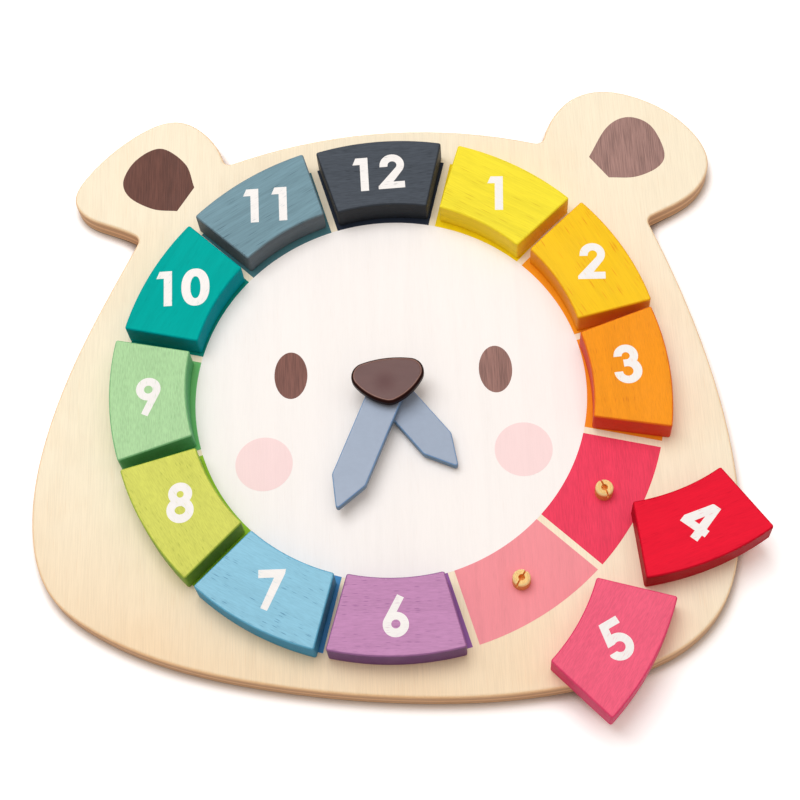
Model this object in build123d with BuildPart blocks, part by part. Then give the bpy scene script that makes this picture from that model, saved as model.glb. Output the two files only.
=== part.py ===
from build123d import *

import os
from math import asin, cos, radians, sin

# Bear-face number puzzle clock, lying on its back.
# The origin is where the clock's axis meets the underside of the board: +Z points up out of the
# face, +Y towards twelve o'clock and +X towards three. All sizes are in millimetres.

# --- driving dimensions -------------------------------------------------------------------------

# board
board_thickness = 10.0
board_edge_radius = 1.2
board_notch_radius = 3.0          # inside corners where the ears meet the head

# The board's outline is a bear's head with two ears, drawn by its corners and by the points that
# its curves pass through, anticlockwise from the right ear. The head is not quite symmetric: the
# left cheek is fuller and the right ear sits higher.
ear_right_top = (70.4, 114.2)
crown = (2.0, 125.2)
ear_left_top = (-67.9, 113.2)
ear_left_curve = [(-74.9, 128.6), (-88.0, 137.6), (-109.5, 130.1), (-126.6, 114.1),
                  (-132.8, 99.8), (-128.7, 93.0), (-119.5, 87.8), (-112.6, 84.8)]
ear_left_low = (-104.2, 79.8)
cheek_and_chin_curve = [(-116.7, 54.4), (-130.7, 23.1), (-141.9, -12.4), (-145.6, -46.0),
                        (-136.3, -78.7), (-118.8, -93.7), (-102.5, -102.5), (-54.9, -117.6),
                        (0.0, -126.0), (46.2, -126.9), (84.0, -121.2), (107.9, -112.3),
                        (124.7, -96.4), (133.0, -74.0), (135.4, -36.3), (129.3, 11.3),
                        (122.7, 39.1)]
ear_right_low = (111.6, 74.5)
ear_right_curve = [(121.5, 79.0), (132.5, 85.6), (140.4, 99.5), (133.9, 118.2),
                   (114.1, 134.7), (94.0, 139.3), (84.2, 135.8), (77.8, 129.8)]

# pegs that hold the number blocks
hours = 12
peg_circle_radius = 95.6
peg_diameter = 7.2
peg_height = 5.5                  # above the board
peg_top_radius = 1.3
peg_shank_diameter = 5.0
peg_shank_length = 6.0
peg_eye_diameter = 2.6            # hole down the middle of the peg
peg_eye_depth = 3.2
peg_slit_width = 0.7
peg_slit_depth = 2.9
peg_slit_step = 54.0              # each peg's slit is turned this far from the one before
peg_slit_start = 326.0
blind_hole_spare = 0.6            # glue room under anything seated in the board or the nose

# number blocks
block_height = 12.0
block_reach_inward = 13.9         # from the peg circle to the concave side
block_reach_outward = 17.4        # from the peg circle to the convex side
block_gap = 4.9                   # between two neighbours when both hang straight
block_corner_radius = 1.0
block_top_radius = 0.9
block_foot_radius = 0.5
socket_clearance = 1.4            # all round the peg, so that a child's hand finds it easily
socket_depth = 7.0
socket_mouth_chamfer = 0.6

# hands, stacked on one pivot dowel under the nose
hand_width = 14.4
hand_thickness = 4.0
hand_edge_radius = 0.7
hand_shoulder_radius = 3.0
hand_tip_radius = 1.0
hand_bore_clearance = 0.08        # all round the dowel
hand_point = 13.4                 # length of the pointed end
hour_hand_length = 44.0           # pivot to tip, before the tip is rounded
hour_hand_angle = -53.5
minute_hand_length = 57.0
minute_hand_angle = -113.6
washer_diameter = 12.5
washer_thickness = 0.8
dowel_diameter = 8.0
dowel_seat_depth = 6.5            # in the board
nose_seat_depth = 2.6             # dowel in the nose
nose_play = 0.2                   # above the top washer, so that the hands stay free to turn

# nose, a rounded triangle
nose_half_width = 16.7            # to the sharp corners, before they are rounded
nose_corner_height = 6.4
nose_crown_height = 9.9
nose_chin_depth = 10.4
nose_cheek = (9.2, -5.6)          # a point halfway along each lower side
nose_side_radius = 6.0
nose_chin_radius = 6.2
nose_thickness = 4.5
nose_edge_radius = 1.5
nose_turn = 3.7

# --- sizes that follow from them ----------------------------------------------------------------

hour_step = 360 / hours
block_inner_radius = peg_circle_radius - block_reach_inward
block_outer_radius = peg_circle_radius + block_reach_outward
board_top = board_thickness
lower_washer_z = board_top
hour_hand_z = lower_washer_z + washer_thickness
middle_washer_z = hour_hand_z + hand_thickness
minute_hand_z = middle_washer_z + washer_thickness
upper_washer_z = minute_hand_z + hand_thickness
nose_z = upper_washer_z + washer_thickness + nose_play

# --- where the blocks lie -----------------------------------------------------------------------

# A seated block hangs loosely on its peg, a little turned (degrees) and a little off (mm along
# the ring clockwise, mm outwards).
seated_blocks = {
    1: (-3.1, 1.0, 0.2), 2: (-2.8, 0.7, 0.5), 3: (3.4, 0.4, -0.2),
    6: (-1.8, 1.0, 0.3), 7: (-1.2, 0.4, 0.3), 8: (-0.8, 0.2, -0.2),
    9: (2.0, 0.1, 0.3), 10: (0.6, 0.4, -0.6), 11: (0.6, -0.1, 1.1), 12: (0.9, 0.1, 0.4),
}

# Two blocks are off their pegs and lie on the board's edge, turned and carried in the same terms.
loose_blocks = {4: (-40.7, -0.9, 37.3), 5: (27.6, -13.5, 40.2)}


def hour_angle(hour):
    """Direction of an hour mark, in degrees from +X."""
    return 90 - hour_step * hour


def block_plane(hour):
    """Plane of a block's underside: origin in its socket, +Y towards its convex side."""
    turn, along, outward = (seated_blocks | loose_blocks)[hour]
    direction = radians(hour_angle(hour))
    reach = peg_circle_radius + outward
    x = reach * cos(direction) + along * sin(direction)
    y = reach * sin(direction) - along * cos(direction)
    facing = hour_angle(hour) + turn
    return Plane(origin=(x, y, board_top), x_dir=Vector(1, 0, 0).rotate(Axis.Z, facing - 90))


os.makedirs("parts", exist_ok=True)

# --- board --------------------------------------------------------------------------------------

with BuildPart() as base_board:
    with BuildSketch():
        with BuildLine():
            ThreePointArc(ear_right_top, crown, ear_left_top)
            Spline(ear_left_top, *ear_left_curve, ear_left_low)
            Spline(ear_left_low, *cheek_and_chin_curve, ear_right_low)
            Spline(ear_right_low, *ear_right_curve, ear_right_top)
        make_face()
        fillet(vertices(), radius=board_notch_radius)
    extrude(amount=board_thickness)
    fillet(faces().filter_by(Plane.XY).edges(), radius=board_edge_radius)
    with BuildSketch(Plane.XY.offset(board_top)):
        with PolarLocations(peg_circle_radius, hours):
            Circle(peg_shank_diameter / 2)
    extrude(amount=-(peg_shank_length + blind_hole_spare), mode=Mode.SUBTRACT)
    with BuildSketch(Plane.XY.offset(board_top)):
        Circle(dowel_diameter / 2)
    extrude(amount=-(dowel_seat_depth + blind_hole_spare), mode=Mode.SUBTRACT)
base_board.part.label = "base_board"
export_step(base_board.part, "parts/base_board.step")

# --- pegs ---------------------------------------------------------------------------------------

# A turned peg with a rounded top, an eye down its middle and a saw slit right across.
for hour in range(1, hours + 1):
    direction = radians(hour_angle(hour))
    centre = (peg_circle_radius * cos(direction), peg_circle_radius * sin(direction), board_top)
    slit_direction = Vector(1, 0, 0).rotate(Axis.Z, peg_slit_start - peg_slit_step * hour)
    peg_plane = Plane(origin=centre, x_dir=slit_direction)
    with BuildPart() as peg:
        with BuildSketch(peg_plane):
            Circle(peg_diameter / 2)
        extrude(amount=peg_height)
        fillet(edges().group_by(Axis.Z)[-1], radius=peg_top_radius)
        with BuildSketch(peg_plane):
            Circle(peg_shank_diameter / 2)
        extrude(amount=-peg_shank_length)
        with BuildSketch(peg_plane.offset(peg_height)):
            Circle(peg_eye_diameter / 2)
        extrude(amount=-peg_eye_depth, mode=Mode.SUBTRACT)
        with BuildSketch(peg_plane.offset(peg_height)):
            Rectangle(2 * peg_diameter, peg_slit_width)
        extrude(amount=-peg_slit_depth, mode=Mode.SUBTRACT)
    node = f"peg_{hour:02d}"
    peg.part.label = node
    export_step(peg.part, f"parts/{node}.step")

# --- number blocks ------------------------------------------------------------------------------

# Each block is a piece of a ring with a blind socket in its underside. Its outline is drawn about
# the socket, so the clock's axis lies at (0, -peg_circle_radius) when the block is seated.


def block_corner(radius):
    """Right-hand corner of a block at this radius about the clock's axis, seen from the socket."""
    angle = radians(hour_step / 2) - asin(block_gap / 2 / radius)
    return radius * sin(angle), radius * cos(angle) - peg_circle_radius


inner_x, inner_y = block_corner(block_inner_radius)
outer_x, outer_y = block_corner(block_outer_radius)

for hour in range(1, hours + 1):
    underside = block_plane(hour)
    with BuildPart() as block:
        with BuildSketch(underside):
            with BuildLine():
                Line((-inner_x, inner_y), (-outer_x, outer_y))
                ThreePointArc((-outer_x, outer_y), (0, block_reach_outward), (outer_x, outer_y))
                Line((outer_x, outer_y), (inner_x, inner_y))
                ThreePointArc((inner_x, inner_y), (0, -block_reach_inward), (-inner_x, inner_y))
            make_face()
            fillet(vertices(), radius=block_corner_radius)
        extrude(amount=block_height)
        fillet(edges().group_by(Axis.Z)[-1], radius=block_top_radius)
        fillet(edges().group_by(Axis.Z)[0], radius=block_foot_radius)
        with BuildSketch(underside):
            Circle(peg_diameter / 2 + socket_clearance)
        extrude(amount=socket_depth, mode=Mode.SUBTRACT)
        socket_rims = edges().filter_by(lambda edge: edge.is_closed).sort_by(Axis.Z)
        chamfer(socket_rims[0], length=socket_mouth_chamfer)
    node = f"block_{hour:02d}"
    block.part.label = node
    export_step(block.part, f"parts/{node}.step")

# --- pivot dowel and washers --------------------------------------------------------------------

with BuildPart() as pivot_dowel:
    with BuildSketch(Plane.XY.offset(board_top - dowel_seat_depth)):
        Circle(dowel_diameter / 2)
    extrude(amount=dowel_seat_depth + nose_z - board_top + nose_seat_depth)
pivot_dowel.part.label = "pivot_dowel"
export_step(pivot_dowel.part, "parts/pivot_dowel.step")

washer_heights = {
    "washer_lower": lower_washer_z,
    "washer_middle": middle_washer_z,
    "washer_upper": upper_washer_z,
}
for node, height in washer_heights.items():
    with BuildPart() as washer:
        with BuildSketch(Plane.XY.offset(height)):
            Circle(washer_diameter / 2)
            Circle(dowel_diameter / 2, mode=Mode.SUBTRACT)
        extrude(amount=washer_thickness)
    washer.part.label = node
    export_step(washer.part, f"parts/{node}.step")

# --- hands --------------------------------------------------------------------------------------

# A flat bar, round about the pivot and pointed at the far end: name, height, length, angle.
hand_sizes = [
    ("hour_hand", hour_hand_z, hour_hand_length, hour_hand_angle),
    ("minute_hand", minute_hand_z, minute_hand_length, minute_hand_angle),
]
for node, height, length, angle in hand_sizes:
    hand_plane = Plane(origin=(0, 0, height), x_dir=Vector(1, 0, 0).rotate(Axis.Z, angle))
    half = hand_width / 2
    shoulder = length - hand_point
    with BuildPart() as hand:
        with BuildSketch(hand_plane):
            with BuildLine():
                ThreePointArc((0, half), (-half, 0), (0, -half))
                Line((0, -half), (shoulder, -half))
                Line((shoulder, -half), (length, 0))
                Line((length, 0), (shoulder, half))
                Line((shoulder, half), (0, half))
            make_face()
            fillet(vertices().sort_by(Axis.X)[-3:-1], radius=hand_shoulder_radius)
            fillet(vertices().sort_by(Axis.X)[-1], radius=hand_tip_radius)
        extrude(amount=hand_thickness)
        fillet(faces().filter_by(Plane.XY).edges(), radius=hand_edge_radius)
        with BuildSketch(hand_plane):
            Circle(dowel_diameter / 2 + hand_bore_clearance)
        extrude(amount=hand_thickness, mode=Mode.SUBTRACT)
    hand.part.label = node
    export_step(hand.part, f"parts/{node}.step")

# --- nose ---------------------------------------------------------------------------------------

# A rounded triangle with bulging sides, glued on top of the dowel over both hands.
nose_plane = Plane(origin=(0, 0, nose_z), x_dir=Vector(1, 0, 0).rotate(Axis.Z, nose_turn))
cheek_x, cheek_y = nose_cheek
with BuildPart() as nose:
    with BuildSketch(nose_plane):
        with BuildLine():
            ThreePointArc((-nose_half_width, nose_corner_height), (0, nose_crown_height),
                          (nose_half_width, nose_corner_height))
            ThreePointArc((nose_half_width, nose_corner_height), (cheek_x, cheek_y),
                          (0, -nose_chin_depth))
            ThreePointArc((0, -nose_chin_depth), (-cheek_x, cheek_y),
                          (-nose_half_width, nose_corner_height))
        make_face()
        fillet(vertices().sort_by(Axis.Y)[1:], radius=nose_side_radius)
        fillet(vertices().sort_by(Axis.Y)[0], radius=nose_chin_radius)
    extrude(amount=nose_thickness)
    fillet(faces().filter_by(Plane.XY).edges(), radius=nose_edge_radius)
    with BuildSketch(nose_plane):
        Circle(dowel_diameter / 2)
    extrude(amount=nose_seat_depth, mode=Mode.SUBTRACT)
nose.part.label = "nose"
export_step(nose.part, "parts/nose.step")
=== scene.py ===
# %% [markdown]
# # A bear-face number puzzle clock
#
# The clock is a flat birch plywood board cut as a bear's head. A white face is printed in the
# middle, twelve coloured fields run round it, and twelve loose number blocks sit on pegs over the
# fields. Two hands turn under the bear's nose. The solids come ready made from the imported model,
# so this lesson dresses them: it lays thin prints on the wood, works out how each wood is stained
# or painted, and sets up the table, the light and the camera.

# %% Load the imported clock
import math

import bpy
import numpy as np
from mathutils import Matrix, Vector
from mathutils.geometry import tessellate_polygon


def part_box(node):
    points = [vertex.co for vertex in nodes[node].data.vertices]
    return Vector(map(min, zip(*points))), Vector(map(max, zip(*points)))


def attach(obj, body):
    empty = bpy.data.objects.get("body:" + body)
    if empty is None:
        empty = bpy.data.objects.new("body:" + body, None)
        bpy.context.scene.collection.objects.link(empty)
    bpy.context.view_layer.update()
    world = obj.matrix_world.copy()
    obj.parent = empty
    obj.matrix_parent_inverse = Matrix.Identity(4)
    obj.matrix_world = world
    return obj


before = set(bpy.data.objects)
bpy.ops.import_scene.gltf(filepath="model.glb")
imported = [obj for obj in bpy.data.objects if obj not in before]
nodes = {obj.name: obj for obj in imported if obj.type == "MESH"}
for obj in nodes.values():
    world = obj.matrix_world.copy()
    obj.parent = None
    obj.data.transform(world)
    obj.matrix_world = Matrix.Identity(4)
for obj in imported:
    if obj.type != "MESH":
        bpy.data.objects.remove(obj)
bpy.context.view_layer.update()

MM = 0.001

# %% [markdown]
# ## Heights
#
# Everything is measured from the underside of the board, because that is what lies on the table.
# The prints have to lie exactly on the wood, so the top of the board and the top of a block are
# read from the solids instead of being typed again.

# %% Read the heights
HOURS = 12
HOUR_STEP = 360 / HOURS
PEG_HEIGHT = 5.5 * MM
SOCKET_DEPTH = 7.0 * MM
peg_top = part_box("peg_04")[1].z
board_top = peg_top - PEG_HEIGHT
block_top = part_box("block_12")[1].z
socket_ceiling = board_top + SOCKET_DEPTH
print("board top at", round(board_top / MM, 3), "mm, block top at", round(block_top / MM, 3), "mm")

# %% [markdown]
# ## Camera
#
# The clock lies on a table and is looked at from above its lower edge, steeply enough to see it
# almost as a plan. A long lens keeps the ring of blocks nearly round. The camera comes first, so
# that every later step can be judged from the right place.

# %% Set up the camera
camera_data = bpy.data.cameras.new("table_camera")
camera_data.sensor_width = 36.0
camera_data.lens = 79.337
camera = bpy.data.objects.new("table_camera", camera_data)
camera.location = (0.02627, -0.29302, 0.66636)
camera.rotation_euler = [math.radians(angle) for angle in (23.737, 3.0085, -2.393)]
bpy.context.scene.collection.objects.link(camera)
bpy.context.scene.camera = camera
bpy.context.scene.view_settings.view_transform = "Standard"
print("camera is", round(camera.location.length, 3), "m from the clock's axis")

# %% [markdown]
# ## Small tools for building shaders
#
# A shader is a little graph, and a few helpers keep the recipes short enough to read. One turns a
# colour as it is mixed on a palette into the linear numbers that light works with, and one adds a
# node and plugs it in. The others do sums, measure a distance, make a soft step or a straight ramp
# between two values, lay one colour over another, and start a group of nodes to be used again.


# %% Helpers for colours and shader nodes
def palette(red, green, blue):
    """A colour from 0 to 255, made linear: c / 12.92 for the darkest, and otherwise
    (c + 0.055) / 1.055 raised to the power 2.4."""
    mixed = np.array([red, green, blue]) / 255
    linear = np.where(mixed <= 0.04045, mixed / 12.92, ((mixed + 0.055) / 1.055) ** 2.4)
    return (*linear.tolist(), 1.0)


def add(tree, kind, feeds=None, **settings):
    """One node in a tree; feeds gives each input a plain value or the output that feeds it."""
    made = tree.nodes.new(kind if kind.startswith("NodeGroup") else "ShaderNode" + kind)
    for name, value in settings.items():
        setattr(made, name, value)
    for socket, value in (feeds or {}).items():
        if isinstance(value, bpy.types.NodeSocket):
            tree.links.new(value, made.inputs[socket])
        else:
            made.inputs[socket].default_value = value
    return made


def calc(tree, operation, *values):
    """Arithmetic on up to three numbers."""
    return add(tree, "Math", dict(enumerate(values)), operation=operation).outputs[0]


def distance(tree, across, along):
    """How far a point is from a line or a centre: sqrt(across^2 + along^2)."""
    squares = calc(tree, "MULTIPLY_ADD", across, across, calc(tree, "MULTIPLY", along, along))
    return calc(tree, "SQRT", squares)


def fade(tree, value, start, end):
    """0 at start and 1 at end, with a smooth step between them; start may be the larger."""
    feeds = {"Value": value, "From Min": start, "From Max": end}
    return add(tree, "MapRange", feeds, interpolation_type="SMOOTHSTEP").outputs["Result"]


def span(tree, mask, low, high):
    """A straight ramp from low, where the mask is 0, to high, where it is 1."""
    feeds = {"Value": mask, "To Min": low, "To Max": high}
    return add(tree, "MapRange", feeds).outputs["Result"]


def tint(tree, mask, first, second, blend="MIX"):
    """The first colour where the mask is 0 and the second where it is 1."""
    feeds = {0: mask, 6: first, 7: second}
    return add(tree, "Mix", feeds, data_type="RGBA", blend_type=blend).outputs[2]


def new_group(name, inputs, outputs):
    """An empty node group with named sockets, and its way in and way out."""
    tree = bpy.data.node_groups.new(name, "ShaderNodeTree")
    for label, kind in inputs.items():
        tree.interface.new_socket(name=label, in_out="INPUT", socket_type="NodeSocket" + kind)
    for label, kind in outputs.items():
        tree.interface.new_socket(name=label, in_out="OUTPUT", socket_type="NodeSocket" + kind)
    return tree, add(tree, "NodeGroupInput").outputs, add(tree, "NodeGroupOutput").inputs


# %% [markdown]
# ## Wood grain
#
# All of the clock is wood, bare or coloured, and the same three things show in all of it: fine
# fibres along the grain, broad light and dark bands of growth, and short open pores that take up
# more stain and crowd together in some of the bands. Noise does this if it is stretched: along
# the grain it changes slowly and across it fast. One group holds the recipe and every wood uses
# it with its own sizes. The grain runs along the X of the vector that comes in, so a material
# only has to turn that vector.

# %% Group: wood grain
grain_group, given, result = new_group(
    "wood_grain",
    {"Vector": "Vector", "Length": "Float", "Width": "Float"},
    {"Fibre": "Float", "Band": "Float", "Pore": "Float"},
)
stretch = add(grain_group, "CombineXYZ", {0: given["Length"], 1: given["Width"], 2: given["Width"]})
along_grain = add(
    grain_group, "VectorMath", {0: given["Vector"], 1: stretch.outputs[0]}, operation="DIVIDE"
).outputs[0]
fine = add(grain_group, "TexNoise", {"Vector": along_grain, "Scale": 1.0, "Detail": 3.0,
                                     "Roughness": 0.6})
broad = add(grain_group, "TexNoise", {"Vector": along_grain, "Scale": 0.085, "Detail": 3.0,
                                      "Roughness": 0.55, "Distortion": 0.6})
cells = add(grain_group, "TexVoronoi", {"Vector": along_grain, "Scale": 0.9, "Randomness": 1.0})
chance = add(grain_group, "SeparateColor", {0: cells.outputs["Color"]})
dash = fade(grain_group, cells.outputs["Distance"], 0.40, 0.12)
crowding = calc(grain_group, "SUBTRACT", broad.outputs["Fac"], 0.5)
chosen = calc(grain_group, "MULTIPLY_ADD", crowding, 1.6, chance.outputs[0])
chosen = fade(grain_group, chosen, 0.60, 1.05)
for label, value in (
    ("Fibre", fade(grain_group, fine.outputs["Fac"], 0.34, 0.68)),
    ("Band", fade(grain_group, broad.outputs["Fac"], 0.32, 0.68)),
    ("Pore", calc(grain_group, "MULTIPLY", dash, chosen)),
):
    grain_group.links.new(value, result[label])
print("wood grain group:", len(grain_group.nodes), "nodes")

# %% [markdown]
# ## Rounded edges
#
# Sanding rounds every edge. On some woods the top is paler with a painted sheen and the walls are
# darker with painted shade, so the turn of the edge looks purer, and a painted highlight runs along
# the thin rim where the flat top ends. The surface itself says where its edges are, because its
# normal points up on the flat top, sideways on the walls, and in between on a rounded edge. So the
# masks need no painting and stay right when a block is lifted.

# %% Group: rounded edges
edge_group, given, result = new_group(
    "rounded_edges", {"Normal": "Vector"},
    {"Top": "Float", "Side": "Float", "Round": "Float", "Rim": "Float"},
)
upward = add(edge_group, "SeparateXYZ", {0: given["Normal"]}).outputs[2]


def between(low, rise, fall, high):
    """1 while the normal's upward part lies from rise to fall, 0 outside low to high."""
    return calc(edge_group, "MULTIPLY", fade(edge_group, upward, low, rise),
                fade(edge_group, upward, high, fall))


for label, value in (
    ("Top", fade(edge_group, upward, 0.90, 0.995)),
    ("Side", fade(edge_group, calc(edge_group, "ABSOLUTE", upward), 0.75, 0.10)),
    ("Round", between(0.05, 0.45, 0.80, 0.995)),
    # Rim: the thin band where a flat top ends, where a wood may paint a highlight.
    ("Rim", between(0.90, 0.95, 0.975, 0.995)),
):
    edge_group.links.new(value, result[label])
print("rounded edges group:", len(edge_group.nodes), "nodes")

# %% [markdown]
# ## Handling
#
# A toy is handled, and even a new one isn't evenly glossy: sanding dust under the lacquer and
# finger marks make it a little rougher here and there. This group gives one soft mask for that,
# and one of very fine dust, which the materials use for roughness and for a faint unevenness.

# %% Group: handling marks
handling_group, given, result = new_group(
    "handling_marks", {"Vector": "Vector"}, {"Smudge": "Float", "Dust": "Float"}
)
smear = add(handling_group, "TexNoise", {"Vector": given["Vector"], "Scale": 38.0, "Detail": 3.0,
                                         "Roughness": 0.5, "Distortion": 0.8})
speck = add(handling_group, "TexNoise", {"Vector": given["Vector"], "Scale": 2400.0, "Detail": 1.0})
handling_group.links.new(fade(handling_group, smear.outputs["Fac"], 0.3, 0.7), result["Smudge"])
handling_group.links.new(fade(handling_group, speck.outputs["Fac"], 0.3, 0.7), result["Dust"])
print("handling group:", len(handling_group.nodes), "nodes")


# %% [markdown]
# ## One recipe for every coloured wood
#
# Stained blocks, printed fields, painted hands and bare pegs differ in colour, in how much grain
# shows and in gloss, but not in build. One function makes them all: it turns the grain to the
# piece, darkens the colour with fibres, bands and pores, gives the walls and the rounded edges
# their own colours, which on some woods carry painted shade and a painted sheen, can paint a
# highlight along the rim of a flat top, and lets the same grain raise the surface a little, so
# that light catches it.

# %% Recipe: a wood with its finish
GRAIN_ALONG_BOARD = 90.0


def wood(name, top, side=None, edge=None, rim=None, place=(0, 0, 0), turn=GRAIN_ALONG_BOARD,
         length=7.0, width=0.45, fibre=0.10, band=0.08, pore=0.0, pore_colour=None,
         relief=0.02, roughness=(0.5, 0.62), gloss=0.3, coat=0.0, coat_roughness=0.3):
    """A wood: colour = top shade x (1 - fibre x fibres - band x bands), towards the pore colour
    in the pores, and the side, edge and rim colours on the walls, on rounded edges and where the
    flat top ends. On some woods the top colour is partly a painted sheen and the side colour partly
    painted shade, and a rim colour is a painted highlight. Lengths are in millimetres; turn is the
    grain's direction in degrees from X.
    The surface height is 0.6 x fibres + 0.25 x dust - pores, all times relief."""
    material = bpy.data.materials.new(name)
    material.use_nodes = True
    tree = material.node_tree
    shader = tree.nodes["Principled BSDF"]
    where = add(tree, "TexCoord").outputs
    turned = add(tree, "Mapping", {"Vector": where["Object"], "Location": place,
                                   "Rotation": (0, 0, math.radians(turn))},
                 vector_type="TEXTURE").outputs[0]
    grain = add(tree, "Group", node_tree=grain_group)
    tree.links.new(turned, grain.inputs["Vector"])
    grain.inputs["Length"].default_value = length * MM
    grain.inputs["Width"].default_value = width * MM
    edges = add(tree, "Group", node_tree=edge_group)
    tree.links.new(where["Normal"], edges.inputs["Normal"])
    marks = add(tree, "Group", node_tree=handling_group)
    tree.links.new(where["Object"], marks.inputs["Vector"])

    # Side and edge colours: on some woods partly painted shade and painted sheen.
    shade = tint(tree, edges.outputs["Side"], top, side or top)
    shade = tint(tree, edges.outputs["Round"], shade, edge or top)
    # The rim colour is a painted highlight along the edge of the flat top.
    if rim:
        shade = tint(tree, edges.outputs["Rim"], shade, rim)
    dimming = calc(
        tree, "ADD",
        calc(tree, "MULTIPLY", grain.outputs["Fibre"], fibre),
        calc(tree, "MULTIPLY", grain.outputs["Band"], band),
    )
    kept = add(tree, "CombineColor", dict.fromkeys(range(3), calc(tree, "SUBTRACT", 1.0, dimming)))
    shade = tint(tree, 1.0, shade, kept.outputs[0], blend="MULTIPLY")
    if pore:
        shade = tint(tree, calc(tree, "MULTIPLY", grain.outputs["Pore"], pore), shade,
                     pore_colour or side)
    tree.links.new(shade, shader.inputs["Base Color"])

    tree.links.new(span(tree, marks.outputs["Smudge"], *roughness), shader.inputs["Roughness"])
    shader.inputs["Specular IOR Level"].default_value = gloss
    tree.links.new(calc(tree, "MULTIPLY", edges.outputs["Top"], coat), shader.inputs["Coat Weight"])
    shader.inputs["Coat Roughness"].default_value = coat_roughness
    height = calc(tree, "ADD", calc(tree, "MULTIPLY", grain.outputs["Fibre"], 0.6),
                  calc(tree, "MULTIPLY", marks.outputs["Dust"], 0.25))
    height = calc(tree, "SUBTRACT", height, grain.outputs["Pore"])
    bump = add(tree, "Bump", {"Height": height, "Distance": relief * MM, "Strength": 1.0})
    tree.links.new(bump.outputs[0], shader.inputs["Normal"])
    return material


def reopen(material):
    """What a later step needs to add to a wood: its tree, the input for its colour, its colour so
    far, and the place of a point on the object."""
    tree = material.node_tree
    colour = tree.nodes["Principled BSDF"].inputs["Base Color"]
    where = next(node for node in tree.nodes if node.bl_idname == "ShaderNodeTexCoord").outputs
    return tree, colour, colour.links[0].from_socket, where["Object"]


def dress(names, material):
    """Gives solids their material."""
    for name in names:
        nodes[name].material_slots[0].material = material


# %% [markdown]
# ## The plywood board
#
# The board is birch plywood: a pale veneer whose grain runs from chin to crown, and at its edge
# the plies show as stripes, alternately along and across the grain, with a thin dark line of glue
# at each joint. The stripes are a function of height alone, so they follow the outline all the
# way round by themselves. Towards the chin, sooner on the left, the veneer is made a little darker
# and warmer, and in a few soft blotches a little warmer.

# %% Group: plies at the edge
ply_group, given, result = new_group(
    "plies", {"Vector": "Vector", "Ply Thickness": "Float"}, {"Crossed": "Float", "Glue": "Float"}
)
WAVER = 0.18 * MM
waver = add(ply_group, "TexNoise", {"Vector": given["Vector"], "Scale": 45.0, "Detail": 2.0})
level = add(ply_group, "SeparateXYZ", {0: given["Vector"]}).outputs[2]
level = calc(ply_group, "ADD", level, span(ply_group, waver.outputs["Fac"], -WAVER, WAVER))
plies = calc(ply_group, "DIVIDE", level, given["Ply Thickness"])
to_joint = calc(ply_group, "PINGPONG", calc(ply_group, "SUBTRACT", plies, 0.5), 0.5)
to_joint = calc(ply_group, "SUBTRACT", 0.5, to_joint)
odd = calc(ply_group, "FLOORED_MODULO", calc(ply_group, "FLOOR", plies), 2.0)
ply_group.links.new(odd, result["Crossed"])
ply_group.links.new(fade(ply_group, to_joint, 0.09, 0.02), result["Glue"])
print("plies group:", len(ply_group.nodes), "nodes")

# %% Material: the board
PLIES = 5
# How far the veneer is made darker and warmer towards the chin.
WARMING_STARTS, WARMING_FULL, WARMING_SLOPE = -50.0 * MM, -135.0 * MM, 0.22
WARMING_STRENGTH, BLOTCH_STRENGTH = 0.8, 0.20
veneer = palette(255, 240, 211)
warm_veneer = palette(250, 221, 182)
board_wood = wood(
    "board_birch", veneer, side=palette(205, 168, 130), edge=palette(252, 220, 178),
    length=12.0, width=0.42, fibre=0.065, band=0.03, pore=0.16, pore_colour=palette(238, 190, 132),
    relief=0.015, roughness=(0.5, 0.62), gloss=0.15,
)
tree, colour, face_shade, where = reopen(board_wood)
x, y = add(tree, "SeparateXYZ", {0: where}).outputs[:2]
chinward = calc(tree, "MULTIPLY_ADD", x, WARMING_SLOPE, y)
warming = fade(tree, chinward, WARMING_STARTS, WARMING_FULL)
blotch = add(tree, "TexNoise", {"Vector": where, "Scale": 26.0, "Detail": 3.0})
warming = calc(tree, "MULTIPLY", warming, WARMING_STRENGTH)
warming = calc(tree, "MULTIPLY_ADD", fade(tree, blotch.outputs["Fac"], 0.42, 0.68),
                 BLOTCH_STRENGTH, warming)
face_shade = tint(tree, warming, face_shade,
                  tuple(warm / pale for warm, pale in zip(warm_veneer, veneer)), blend="MULTIPLY")
edges = next(node for node in tree.nodes
             if node.bl_idname == "ShaderNodeGroup" and node.node_tree == edge_group).outputs
stripes = add(tree, "Group", node_tree=ply_group)
tree.links.new(where, stripes.inputs["Vector"])
stripes.inputs["Ply Thickness"].default_value = board_top / PLIES
cut_edge = tint(tree, stripes.outputs["Crossed"], palette(232, 186, 140), palette(204, 158, 120))
cut_edge = tint(tree, calc(tree, "MULTIPLY", stripes.outputs["Glue"], 0.6), cut_edge,
                palette(146, 100, 70))
end_fibres = add(tree, "TexNoise", {"Vector": where, "Scale": 1500.0, "Detail": 2.0})
cut_edge = tint(tree, span(tree, end_fibres.outputs["Fac"], 0.0, 0.30), cut_edge,
                palette(150, 112, 82))
tree.links.new(tint(tree, edges["Side"], face_shade, cut_edge), colour)
dress(["base_board"], board_wood)
print("board material:", len(tree.nodes), "nodes")

# %% [markdown]
# ## Where each block lies
#
# Ten blocks hang on their pegs, a little crooked, and two lie beside them. A number and its
# stained grain must follow the block, so the block's place is read from its own mesh. Its two
# straight walls are the largest flat walls it has. They lean inwards like the sides of a slice of
# cake, so their outward normals added together point exactly at the thin end, and the block faces
# the other way. The centre is the middle of the round ceiling of its socket.


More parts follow.
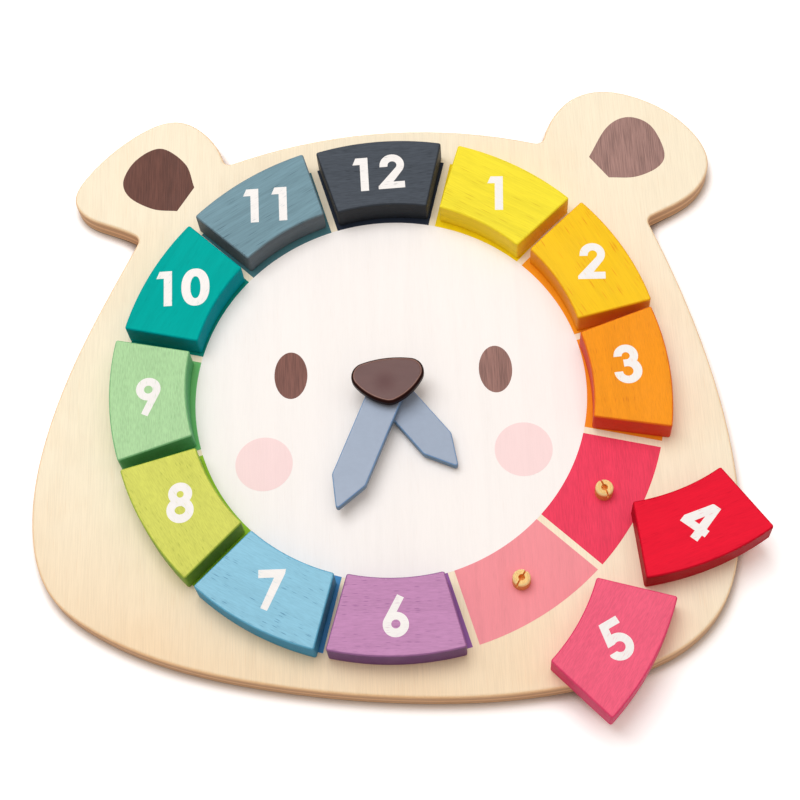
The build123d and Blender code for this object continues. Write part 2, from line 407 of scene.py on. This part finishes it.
# %% Read a block's place from its mesh
def block_place(node):
    """Centre of the socket and direction of the block in degrees. The centre solves, over the
    points of the socket's rim, x*a + y*b + c = x^2 + y^2, whose solution is a = 2 x centre,
    b = 2 y centre."""
    mesh = nodes[node].data
    points = np.empty(len(mesh.vertices) * 3, np.float32)
    mesh.vertices.foreach_get("co", points)
    points = points.reshape(-1, 3).astype(float)
    rim = points[np.abs(points[:, 2] - socket_ceiling) < 0.02 * MM][:, :2]
    middle = rim.mean(axis=0)
    rim = rim - middle
    terms = np.column_stack([rim, np.ones(len(rim))])
    doubled = np.linalg.lstsq(terms, (rim ** 2).sum(axis=1), rcond=None)[0]
    centre = middle + doubled[:2] / 2

    mesh.calc_loop_triangles()
    corners = np.empty(len(mesh.loop_triangles) * 3, np.int32)
    mesh.loop_triangles.foreach_get("vertices", corners)
    a, b, c = points[corners.reshape(-1, 3)].transpose(1, 0, 2)
    cross = np.cross(b - a, c - a)
    area = np.linalg.norm(cross, axis=1)
    upright = (area > 0) & (np.abs(cross[:, 2]) < 1e-3 * area)
    normals = cross[upright] / area[upright][:, None]
    kinds, which = np.unique(np.round(normals[:, :2], 3), axis=0, return_inverse=True)
    covered = np.bincount(which.ravel(), weights=area[upright])
    inward = kinds[np.argsort(covered)[-2:]].sum(axis=0)
    facing = math.degrees(math.atan2(-inward[1], -inward[0]))
    return centre, facing


block_places = {hour: block_place(f"block_{hour:02d}") for hour in range(1, HOURS + 1)}
for hour, (centre, facing) in block_places.items():
    print(f"block {hour}: centre {np.round(centre / MM, 2)} mm, faces {facing:.2f} degrees")

# %% [markdown]
# ## Stained blocks
#
# The blocks are solid wood with a water-based stain. Stain lets the grain through and gathers in
# the pores. The walls are darker than the sanded top, partly because the stain soaks deeper into
# sawn wood and partly as painted shade, and the paler tops partly carry a painted sheen. A rounded
# edge is halfway between top and wall. Each block has its own colour, and is cut from its own place
# in the wood so that the grain runs across it, along the ring. The strongest stains are the most
# matt.

# %% Material: the blocks
SLICE_STEP = 0.031
STAIN_GLOSS, MATT_STAINS = 0.10, {4: 0.04, 10: 0.02}
# hour: (sanded top with painted sheen, walls with painted shade, pores, strength of fibres, bands
# and pores, length of grain in mm)
STAIN_AND_LIGHT_COLOURS = {
    1: ((255, 234, 54), (255, 220, 38), (206, 164, 30), 0.09, 0.09, 0.60, 8.0),
    2: ((255, 203, 25), (240, 146, 16), (232, 132, 16), 0.06, 0.06, 0.95, 8.0),
    3: ((254, 155, 22), (226, 68, 36), (206, 98, 22), 0.10, 0.07, 0.60, 4.0),
    4: ((243, 26, 53), (176, 4, 28), (180, 8, 36), 0.06, 0.07, 0.30, 5.0),
    5: ((249, 99, 129), (222, 40, 100), (214, 66, 102), 0.13, 0.05, 0.35, 2.6),
    6: ((202, 143, 187), (112, 70, 124), (140, 88, 138), 0.12, 0.06, 0.70, 3.6),
    7: ((147, 203, 225), (52, 148, 190), (82, 132, 164), 0.10, 0.05, 0.80, 4.0),
    8: ((219, 221, 99), (122, 166, 44), (156, 168, 66), 0.13, 0.06, 0.65, 3.0),
    9: ((180, 222, 164), (84, 170, 106), (122, 178, 118), 0.16, 0.05, 0.40, 2.8),
    10: ((0, 172, 162), (0, 144, 156), (0, 130, 124), 0.05, 0.07, 0.30, 5.0),
    11: ((124, 157, 168), (100, 110, 118), (60, 82, 94), 0.14, 0.12, 0.85, 9.0),
    12: ((75, 81, 89), (39, 43, 49), (28, 32, 38), 0.22, 0.08, 0.70, 4.0),
}
stained = {}
for hour, (top_stain_and_sheen, wall_stain_and_shade, pore_stain, fibre, band, pore, length) in STAIN_AND_LIGHT_COLOURS.items():
    (x, y), facing = block_places[hour]
    # The edge is halfway between top and wall, so it carries both painted sheen and painted shade.
    edge_stain_and_light = [(on_top + on_wall) / 2 for on_top, on_wall in zip(top_stain_and_sheen, wall_stain_and_shade)]
    stained[hour] = wood(
        f"block_stain_and_light_{hour:02d}", palette(*top_stain_and_sheen), side=palette(*wall_stain_and_shade),
        edge=palette(*edge_stain_and_light), place=(x, y, SLICE_STEP * hour), turn=facing - 90,
        length=length, width=0.42, fibre=fibre, band=band, pore=pore,
        pore_colour=palette(*pore_stain), relief=0.03, roughness=(0.40, 0.52),
        gloss=MATT_STAINS.get(hour, STAIN_GLOSS),
    )
    dress([f"block_{hour:02d}"], stained[hour])
print("stained blocks:", len(stained))

# %% [markdown]
# ## Pegs, dowel and washers
#
# The pegs are turned from a warmer wood than the board and left bare. Their walls are painted
# darker as shade and their rounded top edges paler as a painted highlight. Their eye and slit are
# cut after sanding, and inside them the colour is a stronger, lighter orange: the raw cut wood,
# with painted light that keeps the deep hole from going dark. It is found by its place: the pegs
# stand on a circle, one hour step apart, so the angle left over from the nearest step says how far
# a point is from its own peg's axis. The pivot dowel is the same kind of wood, and the washers
# between the hands are natural nylon, which lets a little light in.

# %% Material: pegs and dowel
PEG_CIRCLE = 95.6 * MM
RAW_AND_LIT_WITHIN, RAW_AND_LIT_ENDS = 3.35 * MM, 3.55 * MM
RAW_AND_LIT_DEPTH_STARTS, RAW_AND_LIT_DEPTH_FULL = 0.25 * MM, 0.9 * MM
# The side colour is painted shade and the paler edge colour a painted highlight.
peg_wood_and_light = wood(
    "peg_beech_and_light", palette(255, 210, 134), side=palette(234, 160, 88), edge=palette(255, 224, 160),
    length=3.0, width=0.3, fibre=0.12, band=0.08, pore=0.4, pore_colour=palette(206, 132, 62),
    relief=0.02, roughness=(0.45, 0.6), gloss=0.15,
)
tree, colour, turned_shade, where = reopen(peg_wood_and_light)
x, y, z = add(tree, "SeparateXYZ", {0: where}).outputs
reach = distance(tree, x, y)
angle = calc(tree, "ARCTAN2", y, x)
step = math.radians(HOUR_STEP)
nearest = calc(tree, "MULTIPLY", calc(tree, "ROUND", calc(tree, "DIVIDE", angle, step)), step)
off_axis = calc(tree, "SUBTRACT", angle, nearest)
outward = calc(tree, "MULTIPLY_ADD", reach, calc(tree, "COSINE", off_axis), -PEG_CIRCLE)
along = calc(tree, "MULTIPLY", reach, calc(tree, "SINE", off_axis))
# Inside the eye and slit: the orange of raw cut wood, made lighter as painted light.
inside = calc(tree, "MULTIPLY", fade(tree, distance(tree, outward, along), RAW_AND_LIT_ENDS, RAW_AND_LIT_WITHIN),
              fade(tree, z, peg_top - RAW_AND_LIT_DEPTH_STARTS, peg_top - RAW_AND_LIT_DEPTH_FULL))
tree.links.new(tint(tree, inside, turned_shade, palette(255, 186, 96)), colour)
dress([f"peg_{hour:02d}" for hour in range(1, HOURS + 1)], peg_wood_and_light)
dowel_wood = wood(
    "dowel_beech", palette(222, 184, 132), length=6.0, width=0.4, fibre=0.14, band=0.1, pore=0.4,
    pore_colour=palette(170, 116, 66), relief=0.02,
)
dress(["pivot_dowel"], dowel_wood)

# %% Material: nylon washers
washer_nylon = bpy.data.materials.new("washer_nylon")
washer_nylon.use_nodes = True
tree = washer_nylon.node_tree
shader = tree.nodes["Principled BSDF"]
where = add(tree, "TexCoord").outputs
marks = add(tree, "Group", node_tree=handling_group)
tree.links.new(where["Object"], marks.inputs["Vector"])
tree.links.new(tint(tree, marks.outputs["Smudge"], palette(232, 228, 218), palette(218, 212, 198)),
               shader.inputs["Base Color"])
tree.links.new(span(tree, marks.outputs["Smudge"], 0.32, 0.45), shader.inputs["Roughness"])
shader.inputs["Subsurface Weight"].default_value = 0.2
shader.inputs["Subsurface Scale"].default_value = 0.001
dress(["washer_lower", "washer_middle", "washer_upper"], washer_nylon)
print("washer material:", len(tree.nodes), "nodes")

# %% [markdown]
# ## Painted hands and lacquered nose
#
# The hands carry opaque blue-grey paint: no grain, only the soft orange-peel of a brush or spray.
# Their pale tops carry a painted sheen and their walls painted shade, so the rounded edges show a
# purer blue. The nose is dipped in brown gloss lacquer. Its sides and rounded edges are painted
# near black as shade, a painted highlight runs along the rim of its flat top, and its top is darker
# in a soft patch near the middle.

# %% Material: hands
# The top colour is partly a painted sheen, the side colour painted shade.
hand_paint = wood(
    "hand_paint", palette(160, 172, 190), side=palette(98, 126, 152), edge=palette(112, 150, 192),
    turn=0.0, length=2.2, width=1.6, fibre=0.03, band=0.04, relief=0.02, roughness=(0.42, 0.54),
    gloss=0.3,
)
dress(["hour_hand", "minute_hand"], hand_paint)

# %% Material: nose
# A soft darker patch on the nose's top, around this middle.
DARK_PATCH_MIDDLE = (-1.5 * MM, -1.2 * MM)
DARK_PATCH_RADIUS, DARK_PATCH_STRENGTH = 7.0 * MM, 0.7
# Side and edge colours: painted shade; rim colour: a painted highlight.
nose_lacquer = wood(
    "nose_lacquer", palette(108, 74, 68), side=palette(30, 10, 6), edge=palette(38, 14, 10),
    rim=palette(150, 114, 102), turn=0.0, length=9.0, width=3.0, fibre=0.05, band=0.10,
    relief=0.006, roughness=(0.26, 0.36), gloss=0.04, coat=0.22, coat_roughness=0.10,
)
tree, colour, nose_colour_so_far, where = reopen(nose_lacquer)
x, y = add(tree, "SeparateXYZ", {0: where}).outputs[:2]
from_middle = distance(tree, calc(tree, "SUBTRACT", x, DARK_PATCH_MIDDLE[0]),
                       calc(tree, "SUBTRACT", y, DARK_PATCH_MIDDLE[1]))
dark_patch = calc(tree, "MULTIPLY", fade(tree, from_middle, DARK_PATCH_RADIUS, 0.0), DARK_PATCH_STRENGTH)
tree.links.new(tint(tree, dark_patch, nose_colour_so_far, palette(84, 38, 32)), colour)
dress(["nose"], nose_lacquer)

# %% [markdown]
# ## Prints as thin films
#
# The face, the coloured fields and the numbers are screen prints: a film of ink on the wood with
# a crisp outline. A picture on the surface would blur close up, so each print is modelled as what
# it is, a very thin closed sheet. Its outline is a closed line of points, made from arcs and
# straight runs. The sheet is that line carried up from the wood to the top of the ink, and closed
# above and below with triangles.


# %% Outline tools
def arc(centre, radius, start, end, steps=24):
    """Points at centre + radius x (cos angle, sin angle), with the angle running evenly from
    start to end in degrees. A pair of radii makes it an ellipse."""
    angle = np.radians(np.linspace(start, end, steps + 1))
    return np.column_stack([np.cos(angle), np.sin(angle)]) * radius + centre


def ring(centre, radius, steps=72, squareness=2.0):
    """A closed curve: centre + radius x (cos, sin), each raised to 2 / squareness with its sign
    kept, which is a circle or ellipse at 2 and squarer above it."""
    angle = np.linspace(0, 2 * math.pi, steps, endpoint=False)
    way = np.column_stack([np.cos(angle), np.sin(angle)])
    return np.sign(way) * np.abs(way) ** (2 / squareness) * radius + centre


def flowing(points, steps=10):
    """A smooth line through points. Between two of them it is the cubic whose slope at each
    point is half the way from the point before to the point after."""
    knots = np.array(points, float)
    ends = [2 * knots[0] - knots[1], *knots, 2 * knots[-1] - knots[-2]]
    before, here, there, after = (np.array(ends[i:len(ends) - 3 + i])[:, None] for i in range(4))
    t = np.linspace(0, 1, steps, endpoint=False)[None, :, None]
    line = here + t * (there - before) / 2 + t ** 2 * (before - 2.5 * here + 2 * there - after / 2)
    line = line + t ** 3 * (1.5 * (here - there) + (after - before) / 2)
    return np.vstack([line.reshape(-1, 2), knots[-1:]])


def area_of(loop):
    """Signed area, half the sum of x * next y - next x * y, positive when anticlockwise."""
    x, y = loop.T
    return 0.5 * float(np.sum(x * np.roll(y, -1) - np.roll(x, -1) * y))


# %% Lay a film of ink
INK = 0.05


def film(name, shapes, level, body, material, place=(0, 0), turn=0.0, ink=INK):
    """A closed sheet of ink. Each shape is its outline, then its holes, in millimetres. A point
    goes to place + (x cos turn - y sin turn, x sin turn + y cos turn), on the wood at level and
    again on top of the ink."""
    cosine, sine = math.cos(math.radians(turn)), math.sin(math.radians(turn))
    spin = np.array([[cosine, sine], [-sine, cosine]])
    vertices, faces, count = [], [], 0
    for shape in shapes:
        loops = [np.array(loop, float) for loop in shape]
        loops = [loop if (area_of(loop) > 0) == (index == 0) else loop[::-1]
                 for index, loop in enumerate(loops)]
        flat = np.vstack(loops)
        total = len(flat)
        corners = tessellate_polygon([[Vector((*point, 0)) for point in loop] for loop in loops])
        corners = np.array(corners)
        a, b, c = (flat[corners[:, i]] for i in range(3))
        cross = (b - a)[:, 0] * (c - a)[:, 1] - (b - a)[:, 1] * (c - a)[:, 0]
        corners = np.where((cross < 0)[:, None], corners[:, ::-1], corners)[np.abs(cross) > 0]
        walls, start = [], 0
        for loop in loops:
            low = start + np.arange(len(loop))
            following = np.roll(low, -1)
            walls.append(np.column_stack([low, following, following + total, low + total]))
            start += len(loop)
        on_wood = flat @ spin * MM + np.array(place)
        for height in (level, level + ink * MM):
            vertices.append(np.column_stack([on_wood, np.full(total, height)]))
        faces += (corners[:, ::-1] + count).tolist() + (corners + total + count).tolist()
        faces += (np.vstack(walls) + count).tolist()
        count += 2 * total
    mesh = bpy.data.meshes.new(name)
    mesh.from_pydata(np.vstack(vertices).tolist(), [], faces)
    mesh.update()
    mesh.materials.append(material)
    piece = bpy.data.objects.new(name, mesh)
    bpy.context.scene.collection.objects.link(piece)
    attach(piece, body)


# %% [markdown]
# ## The white face and its features
#
# The face is a white disc. Two brown eyes, two pink cheeks and the brown inner ears are printed
# beside or over it. The prints are on the board's own veneer, so they use the same grain, running
# the same way: faint through the white, plain to see through the brown. The browns are paler
# towards the right, a painted sheen.

# %% Print the face
FACE_RADIUS = 80.0
face_white = wood(
    "face_white", palette(255, 248, 242), length=9.0, width=0.5, fibre=0.018, band=0.02, pore=0.10,
    pore_colour=palette(236, 214, 196), relief=0.01, roughness=(0.52, 0.62), gloss=0.1,
)
film("face_disc", [[ring((0, 0), FACE_RADIUS, steps=180)]], board_top, "root",
     face_white)

# The paler browns of the right eye and ear are a painted sheen.
BROWNS = {
    "ear_left": ((112, 69, 56), (58, 34, 28)), "eye_left": ((136, 89, 77), (80, 50, 42)),
    "eye_right": ((161, 118, 107), (108, 76, 68)), "ear_right": ((174, 135, 125), (116, 84, 76)),
}
feature_brown = {
    label: wood(
        f"brown_{label}", palette(*ink), length=12.0, width=0.42, fibre=0.36, band=0.12,
        pore=0.55, pore_colour=palette(*in_pores), relief=0.012, roughness=(0.36, 0.44), gloss=0.15,
    )
    for label, (ink, in_pores) in BROWNS.items()
}
cheek_pink = wood(
    "cheek_pink", palette(254, 224, 221), length=9.0, width=0.5, fibre=0.02, band=0.02, pore=0.10,
    pore_colour=palette(238, 190, 184), relief=0.01, roughness=(0.52, 0.62), gloss=0.1,
)
on_face = board_top + INK * MM
for label, centre in (("left", (-40.5, 11.0)), ("right", (43.5, 8.5))):
    film(f"eye_{label}", [[ring(centre, (6.8, 10.5))]], on_face, "root",
         feature_brown[f"eye_{label}"])
for label, centre in (("left", (-52.0, -27.5)), ("right", (52.5, -27.5))):
    film(f"cheek_{label}", [[ring(centre, 11.6)]], on_face, "root", cheek_pink)

INNER_EARS = {
    "left": [(-88.4, 92.2), (-99.0, 94.0), (-109.2, 100.6), (-112.0, 109.0), (-106.4, 119.2),
             (-95.7, 124.1), (-85.0, 115.5), (-81.0, 103.4)],
    "right": [(97.6, 95.4), (109.3, 95.0), (119.6, 99.6), (122.3, 107.1), (117.7, 120.1),
              (108.4, 125.0), (99.0, 120.6), (90.0, 106.2)],
}
for label, points in INNER_EARS.items():
    film(f"inner_ear_{label}", [[flowing(points)]], board_top, "root",
         feature_brown[f"ear_{label}"])
print("face prints: disc, 2 eyes, 2 cheeks, 2 inner ears")

# %% [markdown]
# ## The coloured fields
#
# Under each block its place is printed in its own colour, so that a child can match them. A field
# is a piece of the ring between the face and the outer circle, with a bare strip of wood between
# neighbours that is equally wide all the way. A strip of constant width isn't a constant angle:
# at each radius the half strip takes up an angle of arcsin(half width / radius). The ink of the
# fields is a hair thicker than the white, which it overlaps, and one field came out mottled.

# %% Print the fields
FIELD_INSIDE = FACE_RADIUS - 0.1
FIELD_OUTSIDE = 111.25
HALF_STRIP = 1.375
FIELD_COLOURS = {
    1: (250, 216, 10), 2: (252, 160, 24), 3: (252, 150, 30), 4: (249, 68, 98), 5: (250, 152, 158),
    6: (150, 96, 160), 7: (72, 140, 190), 8: (150, 198, 44), 9: (112, 190, 112),
    10: (0, 138, 124), 11: (74, 118, 124), 12: (38, 46, 60),
}
MOTTLED_FIELD, MOTTLED, EVEN = 4, 0.16, 0.05
FIELD_INK = INK + 0.01
PORE_SHADE = 0.85
for hour, shade in FIELD_COLOURS.items():
    middle = 90 - HOUR_STEP * hour
    corners = [HOUR_STEP / 2 - math.degrees(math.asin(HALF_STRIP / radius))
               for radius in (FIELD_INSIDE, FIELD_OUTSIDE)]
    outline = np.vstack([
        arc((0, 0), FIELD_INSIDE, middle - corners[0], middle + corners[0]),
        arc((0, 0), FIELD_OUTSIDE, middle + corners[1], middle - corners[1]),
    ])
    field_ink = wood(
        f"field_ink_{hour:02d}", palette(*shade), length=6.0, width=0.42,
        fibre=MOTTLED if hour == MOTTLED_FIELD else EVEN, band=0.06, pore=0.30,
        pore_colour=palette(*(PORE_SHADE * value for value in shade)),
        relief=0.015, roughness=(0.5, 0.6), gloss=0.1,
    )
    film(f"field_{hour:02d}", [[outline]], board_top, "root", field_ink,
         ink=FIELD_INK)
print("fields:", len(FIELD_COLOURS), "each", round(FIELD_OUTSIDE - FIELD_INSIDE, 2), "mm wide")

# %% [markdown]
# ## The numbers
#
# The numbers are bold rounded-line figures, about 16 mm high, in white ink. Each is drawn upright
# as the eye sees it when the clock hangs on a wall, with straight runs and arcs of circles about
# the block's socket. A closed figure such as 6 or 8 has holes. The block's own direction then
# turns the figure, and on a loose block it lies wherever the block does.


# %% Draw the figures
def moved(loop, x, y):
    """The same loop, shifted."""
    return np.array(loop, float) + (x, y)


ONE = [(0, 12.9), (1.35, 16.2), (6.5, 16.2), (6.5, 0), (3.1, 0), (3.1, 12.9)]
TWO = np.vstack([
    [(0, 0), (11.2, 0), (11.2, 3.2), (6.4, 3.2)],
    arc((6.1, 11.4), 5.2, -40, 180),
    [(0.85, 10.7), (4.15, 10.7)],
    arc((6.2, 11.3), 1.9, 180, -35),
    [(0, 1.4)],
])
THREE = np.vstack([
    arc((0.6, 5.8), 4.9, 180, -34),
    [(4.2, 3.05)],
    arc((0.6, -0.8), 5.6, 42, -178),
    [(-5.0, -0.9), (-1.55, -0.9)],
    arc((0.55, -1.0), 2.1, 182, 450),
    [(-0.7, 1.1), (-0.7, 4.2)],
    arc((0.55, 5.75), 1.6, -90, 180),
])
FOUR = [(2.4, 9.6), (5.6, 9.6), (5.8, -0.5), (7.1, -0.5), (7.1, -3.7), (5.8, -3.7), (5.8, -6.8),
        (2.5, -6.8), (2.5, -3.7), (-4.3, -3.7), (-4.3, -0.9), (1.9, 9.3)]
FOUR_HOLE = [(0.1, -0.5), (2.4, -0.5), (2.4, 3.5)]
FIVE = np.vstack([
    [(-1.6, 6.8), (5.9, 6.8), (5.9, 3.7), (1.0, 3.7), (0.6, 1.3)],
    arc((0.8, -4.1), 5.4, 90, -160),
    [(-4.1, -5.1), (-1.2, -5.1)],
    arc((0.9, -4.2), 2.1, 206, 485),
    [(-3.2, -2.5)],
])
SIX = np.vstack([arc((0, -4.9), 5.0, 153.4, 446.2, steps=48), [(3.15, 5.7), (0.55, 7.0)]])
SIX_HOLE = ring((0, -4.7), 1.75)
SEVEN = [(-5.1, 6.7), (5.6, 6.7), (5.3, 4.9), (-1.6, -9.8), (-4.2, -8.6), (1.0, 3.4), (-5.1, 3.4)]
EIGHT = np.vstack([
    arc((-1.2, 4.7), 4.75, -38, 218, steps=36),
    arc((-1.1, -2.1), 5.4, 135, 405, steps=36),
])
EIGHT_HOLES = [ring((-1.2, 4.5), 1.4), ring((-1.1, -2.2), (2.1, 1.75))]
NOUGHT = ring((3.8, 0.6), (5.85, 8.65), squareness=2.2)
NOUGHT_HOLE = ring((3.8, 0.5), (2.1, 5.1), squareness=2.2)
NINE_SHIFT = np.array([-1.2, -1.7])

FIGURES = {
    1: [[moved(ONE, -3.9, -6.4)]],
    2: [[moved(TWO, -3.7, -6.4)]],
    3: [[THREE]],
    4: [[FOUR, FOUR_HOLE]],
    5: [[FIVE]],
    6: [[SIX, SIX_HOLE]],
    7: [[SEVEN]],
    8: [[EIGHT, *EIGHT_HOLES]],
    9: [[NINE_SHIFT - SIX, NINE_SHIFT - SIX_HOLE]],
    10: [[moved(ONE, -12.5, -7.4)], [NOUGHT, NOUGHT_HOLE]],
    11: [[moved(ONE, -9.7, -6.3)], [moved(ONE, 2.3, -6.3)]],
    12: [[moved(ONE, -11.4, -6.7)], [moved(TWO, -0.8, -6.4)]],
}

# %% Print the figures on the blocks
for hour, shapes in FIGURES.items():
    centre, facing = block_places[hour]
    figure_white = wood(
        f"figure_white_{hour:02d}", palette(250, 245, 240), place=(*centre, SLICE_STEP * hour),
        turn=facing - 90, length=3.0, width=0.42, fibre=0.04, band=0.03, pore=0.45,
        pore_colour=palette(*STAIN_AND_LIGHT_COLOURS[hour][0]), relief=0.02, roughness=(0.5, 0.6), gloss=0.1,
    )
    upright = facing - 90 + HOUR_STEP * hour
    film(f"figure_{hour:02d}", shapes, block_top, f"block_{hour:02d}", figure_white,
         place=centre, turn=upright)
print("figures:", len(FIGURES))

# %% [markdown]
# ## Table and light
#
# The clock lies on a white table top under soft studio light: a soft box above and behind on the
# left, which throws short soft shadows towards the lower right, a weak broad one overhead, and a
# pale warm room all round. The table has to look white without washing the clock out, so it is a
# plain pale surface that shows itself brighter to the camera and to reflections than it lights
# the clock. The lamps' shadows on it stay, and on top of them a painted shadow, found by ambient
# occlusion, darkens it warm brown in the crevice at the foot of the wood and darker still under
# what hangs over; far from the clock it fades into the room. From below it is clear, and
# light from below reaches the underside of the board through it, so that the back of the clock
# can be looked at too. It lies a hair under the board, because two faces at the same height would
# flicker.

# %% Make the table top
TABLE_RADIUS = 3.0
TABLE_GAP = 0.1 * MM
angle = np.linspace(0, 2 * math.pi, 96, endpoint=False)
rim_points = np.column_stack([
    np.cos(angle) * TABLE_RADIUS, np.sin(angle) * TABLE_RADIUS, np.full_like(angle, -TABLE_GAP),
])
table_mesh = bpy.data.meshes.new("table_top")
table_mesh.from_pydata(rim_points.tolist(), [], [list(range(len(rim_points)))])
table = bpy.data.objects.new("table_top", table_mesh)
bpy.context.scene.collection.objects.link(table)


def seen_directly(tree):
    """1 for the rays that make a background: from the camera, a reflection or through glass."""
    rays = add(tree, "LightPath").outputs
    seen = calc(tree, "MAXIMUM", rays["Is Camera Ray"], rays["Is Glossy Ray"])
    return calc(tree, "MAXIMUM", seen, rays["Is Transmission Ray"])


TABLE_SEEN = (1.31, 1.30, 1.28, 1.0)
CREVICE_WIDTH, CREVICE_STRENGTH = 5.0 * MM, 0.62
OVERHANG_WIDTH, OVERHANG_STRENGTH = 22.0 * MM, 0.95
FADE_STARTS, FADE_ENDS = 0.25, 0.70
table_white = bpy.data.materials.new("table_white")
table_white.use_nodes = True
tree = table_white.node_tree
shader = tree.nodes["Principled BSDF"]
seen = seen_directly(tree)
crevice = add(tree, "AmbientOcclusion", {"Distance": CREVICE_WIDTH}, samples=8).outputs["AO"]
overhang = add(tree, "AmbientOcclusion", {"Distance": OVERHANG_WIDTH}, samples=8).outputs["AO"]
# Painted shadow: the table is darkened at the foot of the wood and under what hangs over.
foot = calc(tree, "MULTIPLY", fade(tree, crevice, 0.92, 0.45), CREVICE_STRENGTH)
under = calc(tree, "MULTIPLY", fade(tree, overhang, 0.56, 0.24), OVERHANG_STRENGTH)
shaded = tint(tree, foot, TABLE_SEEN, palette(150, 118, 96))
shaded = tint(tree, under, shaded, palette(92, 60, 46))
tree.links.new(tint(tree, seen, palette(244, 240, 236), shaded), shader.inputs["Base Color"])
x, y = add(tree, "SeparateXYZ", {0: add(tree, "TexCoord").outputs["Object"]}).outputs[:2]
far = fade(tree, distance(tree, x, y), FADE_STARTS, FADE_ENDS)
shader.inputs["Emission Color"].default_value = (1, 1, 1, 1)
tree.links.new(calc(tree, "MULTIPLY", seen, far), shader.inputs["Emission Strength"])
shader.inputs["Roughness"].default_value = 0.9
shader.inputs["Specular IOR Level"].default_value = 0.0
ray_length = add(tree, "LightPath").outputs["Ray Length"]
from_under = calc(tree, "MAXIMUM", add(tree, "NewGeometry").outputs["Backfacing"],
                  calc(tree, "LESS_THAN", ray_length, 10 * TABLE_GAP))
glass = add(tree, "BsdfTransparent").outputs[0]
surface = add(tree, "MixShader", {0: from_under, 1: shader.outputs[0], 2: glass}).outputs[0]
tree.links.new(surface, tree.nodes["Material Output"].inputs["Surface"])
table_mesh.materials.append(table_white)

# %% Light the room
ROOM_LIGHT = 0.44
ROOM_COLOUR = (1.0, 0.90, 0.80, 1.0)
LAMP_COLOUR = (0.97, 1.02, 1.09)
CLOCK_MIDDLE = Vector((0, 0, 0.01))
world = bpy.data.worlds.new("pale_room")
bpy.context.scene.world = world
world.use_nodes = True
tree = world.node_tree
background = tree.nodes["Background"]
seen = seen_directly(tree)
tree.links.new(tint(tree, seen, ROOM_COLOUR, (1, 1, 1, 1)), background.inputs["Color"])
tree.links.new(span(tree, seen, ROOM_LIGHT, 1.0), background.inputs["Strength"])


def soft_box(name, place, size, power):
    """A square lamp that looks at the middle of the clock."""
    lamp = bpy.data.lights.new(name, "AREA")
    lamp.shape = "SQUARE"
    lamp.size = size
    lamp.energy = power
    lamp.color = LAMP_COLOUR
    holder = bpy.data.objects.new(name, lamp)
    holder.location = place
    holder.rotation_euler = (CLOCK_MIDDLE - Vector(place)).to_track_quat("-Z", "Y").to_euler()
    bpy.context.scene.collection.objects.link(holder)


soft_box("soft_box_above", (-0.32, 0.42, 1.50), size=1.15, power=14.3)
soft_box("soft_box_overhead", (0.35, 0.15, 1.60), size=1.50, power=5.0)
print("lamps:", [light.name for light in bpy.data.lights])
